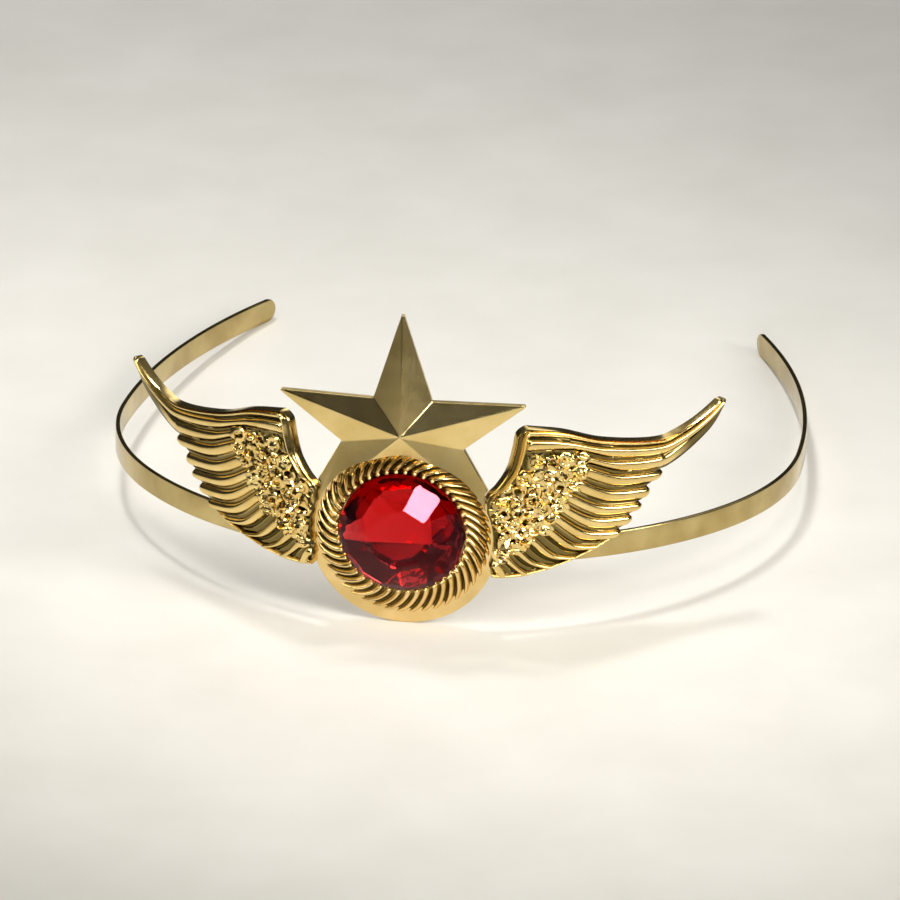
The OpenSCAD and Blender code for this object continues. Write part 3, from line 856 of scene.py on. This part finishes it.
# Places of the columns along a row, as steps of its path
def columnPlaces(path, s):
    inner = dist(path[0], path[1])
    rim = min(wing["rimShare"], (wing["sizes"]["Rim Width"] + wing["rimMargin"]) / inner)
    first, second = wing["halfSteps"]
    atEnd, atTip = wing["crowding"]
    places = [rim * k / wing["rimSteps"] for k in range(wing["rimSteps"])]
    places += [rim + (1 - rim) * k / wing["covertSteps"] for k in range(wing["covertSteps"])]
    places += [1 + k / first for k in range(first)]
    places += [3 - (1 - k / second) ** atEnd for k in range(second + 1)]
    if s <= wing["hornFeathers"]:
        n, last = wing["hornSteps"], len(wing["horn"]) - 1
        places += [3 + last * (1 - (1 - k / n) ** atTip) for k in range(1, n + 1)]
    return places


# what the relief reads at each point of the sheet
plainMarks = ("cell", "feather", "pitch", "fromEdge", "pastRoot", "toEnd", "strength", "onHorn",
              "stretch", "girth", "fill")
vectorMarks = ("lift", "outward", "pointing")


# The plate as a sheet of rows and columns, with what the relief reads at every point, and
# loose points where the covert loops go. side is 1 for the right wing and -1 for the left.
def wingSheet(side):
    steps = wing["acrossSteps"]
    feathers = len(wing["grooves"]) - 1
    lines = []
    for j in range(feathers * steps + 1):
        s = j / steps
        path = rowPath(s)
        lines.append([rowSpot(path, s, t) for t in columnPlaces(path, s)])
    rootAt = wing["rimSteps"] + wing["covertSteps"]
    bodyEnd = rootAt + sum(wing["halfSteps"])
    spots, faces, index = [], [], {}
    for j, line in enumerate(lines):
        s = j / steps
        upper = min(j // steps, feathers - 1) * steps
        run = [0]
        for a, b in zip(line, line[1:]):
            run.append(run[-1] + (b - a).length)
        for i, spot in enumerate(line):
            # how wide the feather is here
            top, low = (lines[k][min(i, len(lines[k]) - 1)] for k in (upper, upper + steps))
            onHorn = (i - bodyEnd) / wing["hornSteps"] * wing["hornGain"] + wing["hornStart"]
            onHorn = min(max(onHorn, 0), 1)
            strength = 1 - wing["hornFlat"] * onHorn if s > wing["wholeFeathers"] else 1.0
            index[j, i] = len(spots)
            spots.append(dict(
                x=spot.x, z=spot.y, cell=j / steps - upper / steps, feather=s,
                pitch=(low - top).length, fromEdge=run[i], pastRoot=run[i] - run[rootAt],
                toEnd=run[-1] - run[i], strength=strength, onHorn=onHorn))
    for (j, i), a in index.items():
        corners = [index.get(key) for key in ((j, i), (j, i + 1), (j + 1, i + 1), (j + 1, i))]
        if None not in corners:
            faces.append(corners if side > 0 else corners[::-1])
    loops = covertSpots()
    everyone = spots + loops
    points, lifts, outs = [], [], []
    for k, p in enumerate(everyone):
        top, out = onWing(p["x"], p["z"], wing["plate"])
        points.append(onBack(p["x"], p["z"]) if k < len(spots) else top)
        lifts.append(top - points[-1])
        outs.append(out)
    flip = Vector((side, 1, 1))
    values = {key: ("FLOAT", [p.get(key, 0.0) for p in everyone]) for key in plainMarks}
    values["lift"] = ("FLOAT_VECTOR", [v * flip * mm for v in lifts])
    values["outward"] = ("FLOAT_VECTOR", [v * flip for v in outs])
    pointing = [Vector(p.get("pointing", (0, 0, 1))) * flip for p in everyone]
    values["pointing"] = ("FLOAT_VECTOR", pointing)
    values["covert"] = ("BOOLEAN", [False] * len(spots) + [True] * len(loops))
    return meshFrom("wingSheet", [p * flip for p in points], faces, values)


# Rows of loops between the rim and the feathers' roots, every other row a third of a step off
def covertSpots():
    coverts = wing["coverts"]
    end, span = wing["rimFade"]
    least, most = coverts["girth"]
    chance = random.Random(wing["seed"])
    loops = []
    for f in range(wing["wholeFeathers"], len(wing["grooves"]) - 1):
        inner, root = (Vector(p) for p in bodyPath(f + 0.5)[:2])
        rim = wing["sizes"]["Rim Width"] * min(max((end - f) / span, 0), 1)
        start = rim + coverts["rimGap"]
        room = (root - inner).length - start + coverts["overlap"]
        if room < coverts["leastRoom"]:
            continue
        count = max(round(room / coverts["pitch"] + coverts["roundUp"]), 1)
        gaps = [(Vector(bodyPath(f + 1)[k]) - Vector(bodyPath(f)[k])).length for k in (0, 1)]
        girth = min(max(sum(gaps) / 2 / coverts["rowHeight"], least), most)
        for k in range(count):
            share = (k + coverts["stagger"][f % 2]) / count
            t = (start + room * share) / (root - inner).length
            loose = [chance.uniform(-1, 1) * coverts["loose"] for _ in range(2)]
            x, z = inner.lerp(root, t) + Vector(loose)
            ahead = inner.lerp(root, t + 0.1)
            pointing = (onWing(ahead.x, ahead.y, 0)[0] - onWing(x, z, 0)[0]).normalized()
            loops.append(dict(
                x=x, z=z, pointing=pointing, girth=girth,
                stretch=coverts["lastStretch"] if k == count - 1 else 1.0,
                fill=coverts["fill"][0] - coverts["fill"][1] * f))
    return loops


def makeWingTree():
    sizes = {key: value * mm for key, value in wing["sizes"].items()}
    sizes["Seed"] = wing["seed"]
    coverts = wing["coverts"]
    tree, size, add = startTree("wingRelief", sizes)
    read = {}
    for label in plainMarks:
        read[label] = add("InputNamedAttribute", {"Name": label})
    for label in vectorMarks:
        read[label] = add("InputNamedAttribute", {"Name": label}, "FLOAT_VECTOR")
    covert = add("InputNamedAttribute", {"Name": "covert"}, "BOOLEAN")
    parts = add("SeparateGeometry", {0: size["Geometry"], "Selection": covert})
    # lengths in the attributes are in millimetres, the tree's own sizes in metres
    reach = {}
    for label in ("fromEdge", "pastRoot", "toEnd"):
        reach[label] = add("Math", [read[label], mm], "MULTIPLY")

    # how far a point is from a place across its feather, as a share of half a width
    def acrossFrom(place, width):
        off = add("Math", [read["cell"], place], "SUBTRACT")
        far = add("Math", [off], "ABSOLUTE")
        metres = addRun(add, "Math", "MULTIPLY", far, read["pitch"], mm * 2)
        return add("Math", [metres, width], "DIVIDE", use_clamp=True)

    # a feather across: the round ridge of its shaft, a deep groove, a thin line and a flat strip
    lowShare = add("MapRange", {
        "Value": read["feather"], "From Min": wing["lipFeather"] - 1.0,
        "From Max": wing["lipFeather"] + 1.0})
    wanted = add("Mix", {0: lowShare, 2: size["Ridge Width"], 3: size["Low Ridge Width"]})
    room = add("Math", [read["pitch"], wing["ridgeRoom"] * mm], "MULTIPLY")
    ridgeWidth = add("Math", [wanted, room], "MINIMUM")
    ridgeShape = add("FloatCurve", {"Value": acrossFrom(wing["ridgeAt"], ridgeWidth)}, points=[
        (0, 1), (0.35, 0.95), (0.62, 0.8), (0.82, 0.5), (0.94, 0.14), (1, 0)])
    lineShape = add("FloatCurve", {"Value": acrossFrom(wing["lineAt"], size["Line Width"])}, points=[
        (0, 1), (0.45, 0.85), (0.85, 0.2), (1, 0)])
    stripShape = add("FloatCurve", {"Value": read["cell"]}, points=[
        (0, 1), (0.16, 1), (0.24, 0), (0.84, 0), (0.9, 1), (1, 1)])
    profile = add("Math", [ridgeShape, size["Ridge Height"]], "MULTIPLY")
    offHorn = add("Math", [1.0, read["onHorn"]], "SUBTRACT")
    for shape, label in ((lineShape, "Line Height"), (stripShape, "Strip Height")):
        part = addRun(add, "Math", "MULTIPLY", shape, size[label], offHorn)
        profile = add("Math", [profile, part], "MAXIMUM")
    rootShare = add("Math", [reach["pastRoot"], size["Root Fade"]], "DIVIDE")
    rootFade = add("MapRange", {
        "Value": rootShare, "From Min": -1.0, "From Max": 0.2}, interpolation_type="SMOOTHSTEP")
    whole = add("Math", [read["feather"], wing["wholeFeathers"] + 0.001], "LESS_THAN")
    started = add("Math", [rootFade.outputs[0], whole], "MAXIMUM")
    endShare = add("Math", [reach["toEnd"], size["End Fade"]], "DIVIDE", use_clamp=True)
    endFade = add("FloatCurve", {"Value": endShare}, points=[
        (0, 0.25), (0.15, 0.6), (0.45, 0.92), (1, 1)])
    # the rim along the inner edge down to the rope border: a thin line, a flat band and a ridge.
    # Round the shoulder it runs on along the top edge, where the band is narrow.
    end, span = wing["rimFade"]
    rimTaper = add("MapRange", {
        "Value": read["feather"], "From Min": end - span, "From Max": end, "To Min": 1.0,
        "To Max": wing["rimLeft"]})
    rimWidth = add("Math", [size["Rim Width"], rimTaper], "MULTIPLY")
    rimShare = add("Math", [reach["fromEdge"], rimWidth], "DIVIDE")
    clear = add("MapRange", {
        "Value": rimShare, "From Min": 0.8, "From Max": 1.25}, interpolation_type="SMOOTHSTEP")
    below = add("Math", [read["feather"], 0.999], "GREATER_THAN")
    ridge = addRun(
        add, "Math", "MULTIPLY", profile, started, endFade, read["strength"], below, clear)
    topShare = add("FloatCurve", {"Value": read["feather"]}, points=[
        (0, 0), (0.1, 0.2), (0.24, 0.56), (0.36, 0.68), (0.6, 0.82), (0.8, 0.95), (0.88, 1),
        (1, 1)])
    nearer = add("Math", [rimShare, topShare, wing["rimBlend"]], "SMOOTH_MIN", use_clamp=True)
    rimShape = add("FloatCurve", {"Value": nearer}, points=[
        (0, 0.35), (0.05, 0.8), (0.11, 0.84), (0.19, 0.26), (0.37, 0.12), (0.56, 0.26),
        (0.66, 0.88), (0.76, 1), (0.87, 0.8), (0.95, 0.2), (1, 0)])
    tipShape = add("FloatCurve", {"Value": nearer}, points=[
        (0, 0.45), (0.2, 0.67), (0.4, 0.9), (0.56, 1), (0.66, 0.93), (0.8, 0.62), (0.93, 0.18),
        (1, 0)])
    rimShape = add("Mix", {0: read["onHorn"], 2: rimShape, 3: tipShape})
    rim = addRun(add, "Math", "MULTIPLY", size["Rim Height"], rimTaper, rimShape, endFade)
    # the lower rim, on which the last feathers end
    lipShare = add("Math", [reach["toEnd"], size["Lip Width"]], "DIVIDE", use_clamp=True)
    lipShape = add("FloatCurve", {"Value": lipShare}, points=[
        (0, 0.4), (0.2, 0.92), (0.42, 1), (0.65, 0.8), (0.9, 0.1), (1, 0)])
    onLip = add("MapRange", {
        "Value": read["feather"], "From Min": wing["lipFeather"] - 0.4,
        "From Max": wing["lipFeather"] + 0.1})
    lip = addRun(add, "Math", "MULTIPLY", lipShape, size["Lip Height"], onLip)
    # rough ground between the covert loops
    noise = add("TexNoise", {
        "Scale": add("Math", [1.0, size["Bump Size"]], "DIVIDE"), "Detail": 0.0})
    rough = add("MapRange", {"Value": noise.outputs["Fac"], "From Min": 0.4, "From Max": 0.65})
    pastRim = add("Math", [nearer, 0.99], "GREATER_THAN")
    ground = add("Math", [1.0, started], "SUBTRACT")
    bump = addRun(add, "Math", "MULTIPLY", rough, size["Covert Bump"], ground, pastRim)
    relief = addRun(add, "Math", "MAXIMUM", ridge, rim, bump, lip)
    # the relief's height as a share of a ridge's, stored as "height" for the finish's painted groove
    # shade
    heightShare = add("Math", [relief, size["Ridge Height"]], "DIVIDE")
    noted = add("StoreNamedAttribute", {
        0: parts.outputs["Inverted"], "Name": "height", "Value": heightShare})
    # front sheet, walls and back
    raised = add("ExtrudeMesh", {0: noted, "Offset Scale": 0.0, "Individual": False})
    bulge = add("VectorMath", {0: read["outward"], "Scale": relief}, "SCALE")
    rise = add("VectorMath", [read["lift"], bulge], "ADD")
    front = add("SetPosition", {0: raised, "Selection": raised.outputs["Top"], "Offset": rise})
    # the back stores a full height, so it gets no painted groove shade
    plain = add("StoreNamedAttribute", {
        0: parts.outputs["Inverted"], "Name": "height", "Value": 1.0})
    back = add("FlipFaces", [plain])
    both = add("JoinGeometry", [[front, back]])
    plate = add("MergeByDistance", {0: both, "Distance": 0.0000005})
    # one covert: a loop of wire, higher at its outer end, and in many of them a dome
    line = add("CurvePrimitiveCircle", {"Resolution": 16, "Radius": 1.0})
    oval = add("CombineXYZ", [size["Loop Length"], size["Loop Width"], 1.0])
    shapedLine = add("Transform", {0: line, "Scale": oval})
    wire = add("CurvePrimitiveCircle", {"Resolution": 7, "Radius": size["Loop Wire"]})
    loop = add("CurveToMesh", [shapedLine, wire])
    spot = add("InputPosition")
    spotAxes = add("SeparateXYZ", [spot])
    slope, level = coverts["tilt"]
    tilt = add("Math", [spotAxes.outputs["X"], slope, level * mm], "MULTIPLY_ADD")
    lifted = add("CombineXYZ", {2: tilt})
    sloped = add("SetPosition", {0: loop, "Offset": lifted})
    facing = add("AlignRotationToVector", {"Vector": read["outward"]}, axis="Z")
    turned = add("AlignRotationToVector", {
        "Rotation": facing, "Vector": read["pointing"]}, axis="X", pivot_axis="Z")
    spin = coverts["swing"]
    chance = add("RandomValue", {
        "Min": (0, 0, -spin), "Max": (0, 0, spin), "Seed": size["Seed"]}, "FLOAT_VECTOR")
    swing = add("EulerToRotation", [chance])
    loose = add("RotateRotation", [turned, swing], rotation_space="LOCAL")
    least, most = coverts["vary"]
    vary = add("RandomValue", {"Min": least, "Max": most, "Seed": size["Seed"]}, "FLOAT_VECTOR")
    fitted = add("CombineXYZ", [read["stretch"], read["girth"], 1.0])
    scale = add("VectorMath", [vary, fitted], "MULTIPLY")
    loops = add("InstanceOnPoints", {
        0: parts.outputs["Selection"], "Instance": sloped, "Rotation": loose, "Scale": scale})
    ball = add("MeshIcoSphere", {"Radius": size["Dome"], "Subdivisions": 3})
    filled = add("RandomValue", {"Probability": read["fill"], "Seed": size["Seed"]}, "BOOLEAN")
    domes = add("InstanceOnPoints", {
        0: parts.outputs["Selection"], "Selection": filled.outputs[3], "Instance": ball,
        "Scale": scale})
    bumps = add("JoinGeometry", [[loops, domes]])
    loopMesh = add("RealizeInstances", [bumps])
    dent = add("TexNoise", {
        "Scale": add("Math", [1.0, size["Dent Size"]], "DIVIDE"), "Detail": 0.0})
    centred = add("VectorMath", [dent.outputs["Color"], (0.5, 0.5, 0.5)], "SUBTRACT")
    shift = add("VectorMath", {0: centred, "Scale": size["Dent Depth"]}, "SCALE")
    dented = add("SetPosition", {0: loopMesh, "Offset": shift})
    loopNoted = add("StoreNamedAttribute", {0: dented, "Name": "height", "Value": coverts["shine"]})
    everything = add("JoinGeometry", [[plate, loopNoted]])
    endTree(add, size, everything)
    return tree, sizes


def makeWing(name, side, tree, sizes, finish):
    piece = growPiece(name, startObject("wingSheet", wingSheet(side)), tree, sizes, finish, 48)
    outward(piece.data)
    for label in (*plainMarks, *vectorMarks, "covert"):
        layer = piece.data.attributes.get(label)
        if layer:
            piece.data.attributes.remove(layer)
    return piece


# Every piece stands for its node and moves with the one body
def seatPiece(piece, node):
    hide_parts(node)
    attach(piece, "root")
    print(piece.name, len(piece.data.polygons), "faces")


seatPiece(makeBand(), "band")
seatPiece(makeSetting(), "setting")
seatPiece(makeStone(), "stone")
seatPiece(makeStar(), "star")
wingTree, wingSizes = makeWingTree()
wingFinish = platedGold("gilt casting, polished", wing["look"])
seatPiece(makeWing("wingRightPiece", 1, wingTree, wingSizes, wingFinish), "wing_right")
seatPiece(makeWing("wingLeftPiece", -1, wingTree, wingSizes, wingFinish), "wing_left")


# Floor: plain pale board, matt
floorBoard = {"size": 4000, "fibre": 25, "colour": "#E9E6E0", "shade": "#E2DFD8", "roughness": 0.75}


def makeFloor():
    half = floorBoard["size"] / 2
    corners = [(-half, -half, 0), (half, -half, 0), (half, half, 0), (-half, half, 0)]
    mesh = meshFrom("floor", corners, [(0, 1, 2, 3)])
    material = bpy.data.materials.new("pale board, matt")
    add = startShading(material)
    where = add("TexCoord")
    fibre = add("TexNoise", {
        "Vector": where.outputs["Object"], "Scale": 1 / (floorBoard["fibre"] * mm), "Detail": 4.0})
    tint = add("ValToRGB", {"Fac": fibre.outputs["Fac"]}, ramp=[
        (0.3, floorBoard["shade"]), (0.7, floorBoard["colour"])])
    shader = add("BsdfPrincipled", {
        "Base Color": tint.outputs["Color"], "Roughness": floorBoard["roughness"],
        "Specular IOR Level": 0.2})
    add("OutputMaterial", {"Surface": shader})
    floor = finishPiece("floor", mesh, material)


makeFloor()
print("floor laid")


def fromAngles(azimuth, elevation):
    turn, rise = radians(azimuth), radians(elevation)
    return Vector((sin(turn) * cos(rise), -cos(turn) * cos(rise), sin(rise)))


# Camera: the photograph's direction and distance, closer cropped
camera = {
    "azimuth": 9.39, "elevation": 25.06, "roll": 0.17,     # degrees
    "distance": 1700,
    "aim": (0, -12, 12),
    "lens": 331,
}


def makeCamera():
    towards = fromAngles(camera["azimuth"], camera["elevation"])
    aim = Vector(camera["aim"]) * mm
    data = bpy.data.cameras.new("camera")
    data.lens = camera["lens"]
    data.clip_start = 0.05
    data.clip_end = 20
    view = startObject("camera", data)
    facing = towards.to_track_quat("Z", "Y").to_matrix().to_4x4()
    view.matrix_world = (Matrix.Translation(aim + towards * camera["distance"] * mm) @ facing
                         @ Matrix.Rotation(radians(camera["roll"]), 4, "Z"))
    bpy.context.scene.camera = view


makeCamera()

# Soft studio light: a spot lights the floor behind the emblem, and panels stand round it with
# dark between them, so that the gold has both bright and dark to reflect. Each lamp: where it
# stands seen from the emblem (degrees, millimetres), its power in watts and its colour. A panel
# has its width and height and how wide its grid lets the light spread, a spot its radius, the
# radius of its pool and the place on the floor that it lights.
lamps = {
    "poolBack": dict(azimuth=-150, elevation=66, distance=1100, power=20, colour="#FFFFFF",
                     radius=90, pool=340, aim=(0, 175)),
    "overhead": dict(azimuth=5, elevation=68, distance=560, power=0.16, colour="#FFFEFA",
                     size=(400, 330), spread=48),
    "backdrop": dict(azimuth=178, elevation=38, distance=700, power=0.07, colour="#FFFFFF",
                     size=(700, 280), spread=45),
    "windowNear": dict(azimuth=46, elevation=42, distance=700, power=0.12, colour="#FFFCF4",
                       size=(280, 320), spread=36),
    "windowRight": dict(azimuth=71, elevation=27, distance=700, power=0.25, colour="#FFFCF4",
                        size=(280, 400), spread=40),
    "windowLeft": dict(azimuth=-66, elevation=32, distance=700, power=0.05, colour="#F6FAF2",
                       size=(160, 340), spread=40),
    "paneFront": dict(azimuth=14.4, elevation=14.4, distance=1000, power=0.048, colour="#FFFFFF",
                      size=(170, 170), spread=16),
}
poolEdge = 0.6             # softness of the pool's edge
emblem = (0, -70, 30)      # what the lamps stand round, and the panels face
# the room's own dim light: low down, high up, and the heights of a direction between which it
# changes
air = {"low": 0.035, "high": 0.12, "lowUp": 0.3, "highUp": 0.95, "colour": "#F1F1EA"}


def makeLamps():
    heart = Vector(emblem) * mm
    for name, lamp in lamps.items():
        spot = "pool" in lamp
        place = heart + fromAngles(lamp["azimuth"], lamp["elevation"]) * lamp["distance"] * mm
        aim = Vector((*lamp["aim"], 0)) * mm if spot else heart
        data = bpy.data.lights.new(name, "SPOT" if spot else "AREA")
        if spot:
            data.shadow_soft_size = lamp["radius"] * mm
            data.spot_size = 2 * atan(lamp["pool"] * mm / (place - aim).length)
            data.spot_blend = poolEdge
        else:
            data.shape = "RECTANGLE"
            data.size, data.size_y = (side * mm for side in lamp["size"])
            data.spread = radians(lamp["spread"])
        data.energy = lamp["power"]
        data.color = linear(lamp["colour"])[:3]
        light = startObject(name, data)
        light.matrix_world = (Matrix.Translation(place)
                              @ (place - aim).to_track_quat("Z", "Y").to_matrix().to_4x4())
    world = bpy.data.worlds.new("studio")
    add = startShading(world)
    where = add("TexCoord")
    axes = add("SeparateXYZ", [where.outputs["Generated"]])
    strength = add("MapRange", {
        "Value": axes.outputs["Z"], "From Min": air["lowUp"], "From Max": air["highUp"],
        "To Min": air["low"], "To Max": air["high"]}, interpolation_type="SMOOTHSTEP")
    sky = add("Background", {"Color": linear(air["colour"]), "Strength": strength.outputs[0]})
    add("OutputWorld", {"Surface": sky})
    bpy.context.scene.world = world


makeLamps()
bpy.context.scene.view_settings.view_transform = "Standard"
print("camera and lamps set")
